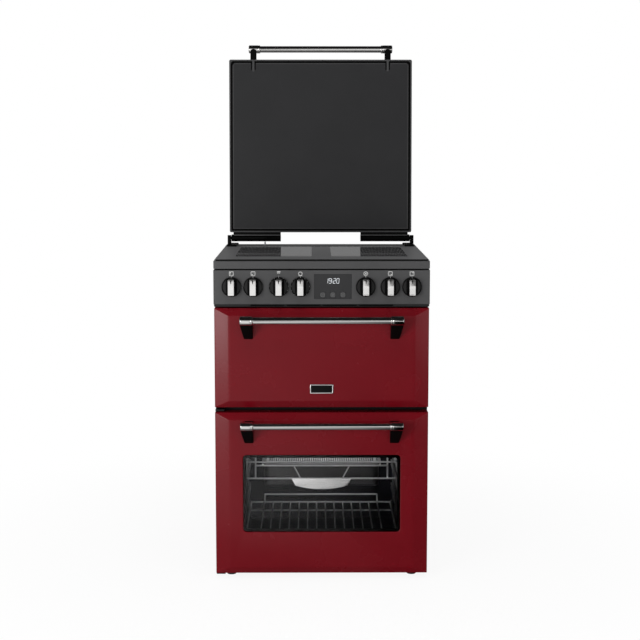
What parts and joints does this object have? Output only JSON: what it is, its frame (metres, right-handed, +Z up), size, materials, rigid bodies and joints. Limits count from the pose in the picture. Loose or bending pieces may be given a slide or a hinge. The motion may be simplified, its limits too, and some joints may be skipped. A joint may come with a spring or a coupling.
{
  "type": "induction range cooker",
  "caption": "Freestanding double-oven range cooker with an induction hob, a raised lid, a drop-down upper door and a side-hinged lower door with a window.",
  "frame": {"origin": "on the floor, under the middle of the cooker's bounding box", "axes": "+Z up, -Y towards the cook, +X to the cook's right"},
  "size_m": [0.6, 0.668, 1.5339],
  "materials": {
    "body_grey": "dark grey enamel",
    "body_inner": "galvanised sheet",
    "foot": "black",
    "frame_black": "black enamel",
    "fascia_grey": "grey lacquer",
    "hob_frame": "grey lacquer",
    "hob_glass": "black ceramic glass",
    "vent_trim": "grey lacquer",
    "copper": "enamelled copper",
    "board": "green solder mask",
    "knob": "polished",
    "knob_disc": "gloss black",
    "switch": "moulded",
    "display": "gloss black",
    "button": "gloss black",
    "door_red": "satin deep red",
    "door_inner": "black enamel",
    "door_glass": "tinted",
    "handle": "brushed nickel",
    "bracket": "black",
    "badge": "satin",
    "enamel": "speckled black enamel",
    "wire": "bright",
    "element": "oxidised",
    "fan": "plain",
    "motor": "plain",
    "wool": "glass wool in foil",
    "seal": "black",
    "lid_grey": "grey lacquer",
    "lid_liner": "dark grey lacquer",
    "hinge_black": "black",
    "hinge_metal": "satin black",
    "pin": "bright"
  },
  "bodies": {
    "cooker": {"side_panels": "body_grey", "back_panel": "body_inner", "base_tray": "body_inner", "levelling_feet": "foot", "front_frame": "frame_black", "door_seals": "seal", "main_liner": "enamel", "top_liner": "enamel", "insulation": "wool", "shelf_rails": "wire", "oven_shelves": "wire", "heating_elements": "element", "fan_cover": "enamel", "fan_motor": "motor", "electronics_shelf": "body_inner", "circuit_boards": "board", "blower_housing": "body_inner", "terminal_cover": "foot", "hob_frame": "hob_frame", "hob_glass": "hob_glass", "rear_vent_trim": "vent_trim", "coil_tray": "body_inner", "induction_coils": "copper", "fascia": "fascia_grey", "knob_discs": "knob_disc", "rotary_switches": "switch", "display_window": "display", "door_hinge_plates": "frame_black", "lid_hinge_posts": "hinge_metal"},
    "lid": {"lid_shell": "lid_grey", "lid_liner": "lid_liner", "lid_posts": "lid_grey", "lid_bar": "handle", "lid_hinge_bars": "hinge_black"},
    "lid_switch": {"lid_switch_pin": "pin"},
    "top_door": {"top_door_panel": "door_red", "top_door_inner": "door_inner", "top_door_bar": "handle", "top_door_brackets": "bracket", "top_door_badge": "badge"},
    "main_door": {"main_door_panel": "door_red", "main_door_glass": "door_glass", "main_door_inner": "door_inner", "main_door_bar": "handle", "main_door_brackets": "bracket", "door_rack": "wire", "roasting_tin": "enamel", "tin_trivet": "wire"},
    "convection_fan": {"convection_fan": "fan"},
    "blower_wheel": {"blower_wheel": "fan"},
    "knob_1": {"knob_1": "knob"},
    "knob_2": {"knob_2": "knob"},
    "knob_3": {"knob_3": "knob"},
    "knob_4": {"knob_4": "knob"},
    "knob_5": {"knob_5": "knob"},
    "knob_6": {"knob_6": "knob"},
    "knob_7": {"knob_7": "knob"},
    "clock_button_1": {"clock_button_1": "button"},
    "clock_button_2": {"clock_button_2": "button"},
    "clock_button_3": {"clock_button_3": "button"}
  },
  "joints": [
    {"name": "lid_hinge", "type": "hinge", "parent": "cooker", "child": "lid", "pos_m": [0, 0.2885, 0.93], "axis": [1, 0, 0], "range_deg": [0, 93]},
    {"name": "lid_switch_press", "type": "slide", "parent": "cooker", "child": "lid_switch", "axis": [0, 0, -1], "range_m": [0, 0.0034]},
    {"name": "top_door_hinge", "type": "hinge", "parent": "cooker", "child": "top_door", "pos_m": [0, -0.2595, 0.503], "axis": [1, 0, 0], "range_deg": [0, 90]},
    {"name": "main_door_hinge", "type": "hinge", "parent": "cooker", "child": "main_door", "pos_m": [-0.289, -0.2445, 0.018], "axis": [0, 0, -1], "range_deg": [0, 110]},
    {"name": "convection_fan_spin", "type": "hinge", "parent": "cooker", "child": "convection_fan", "pos_m": [0, 0.1735, 0.2425], "axis": [0, 1, 0], "continuous": true},
    {"name": "blower_spin", "type": "hinge", "parent": "cooker", "child": "blower_wheel", "pos_m": [0.15, 0.2035, 0.765], "axis": [0, 0, 1], "continuous": true},
    {"name": "knob_1_turn", "type": "hinge", "parent": "cooker", "child": "knob_1", "pos_m": [-0.25, -0.2665, 0.834], "axis": [0, 1, 0], "range_deg": [0, 270]},
    {"name": "knob_2_turn", "type": "hinge", "parent": "cooker", "child": "knob_2", "pos_m": [-0.19, -0.2665, 0.834], "axis": [0, 1, 0], "range_deg": [0, 270]},
    {"name": "knob_3_turn", "type": "hinge", "parent": "cooker", "child": "knob_3", "pos_m": [-0.119, -0.2665, 0.834], "axis": [0, 1, 0], "range_deg": [0, 270]},
    {"name": "knob_4_turn", "type": "hinge", "parent": "cooker", "child": "knob_4", "pos_m": [-0.059, -0.2665, 0.834], "axis": [0, 1, 0], "range_deg": [0, 270]},
    {"name": "knob_5_turn", "type": "hinge", "parent": "cooker", "child": "knob_5", "pos_m": [0.122, -0.2665, 0.834], "axis": [0, 1, 0], "continuous": true},
    {"name": "knob_6_turn", "type": "hinge", "parent": "cooker", "child": "knob_6", "pos_m": [0.19, -0.2665, 0.834], "axis": [0, 1, 0], "range_deg": [0, 270]},
    {"name": "knob_7_turn", "type": "hinge", "parent": "cooker", "child": "knob_7", "pos_m": [0.25, -0.2665, 0.834], "axis": [0, 1, 0], "range_deg": [0, 270]},
    {"name": "clock_button_1_press", "type": "slide", "parent": "cooker", "child": "clock_button_1", "axis": [0, 1, 0], "range_m": [0, 0.0012], "stiffness_N_per_m": 800},
    {"name": "clock_button_2_press", "type": "slide", "parent": "cooker", "child": "clock_button_2", "axis": [0, 1, 0], "range_m": [0, 0.0012], "stiffness_N_per_m": 800},
    {"name": "clock_button_3_press", "type": "slide", "parent": "cooker", "child": "clock_button_3", "axis": [0, 1, 0], "range_m": [0, 0.0012], "stiffness_N_per_m": 800}
  ],
  "couplings": [
    {"joint": "lid_switch_press", "follows": "lid_hinge", "m_per_rad": 0.0020331}
  ]
}
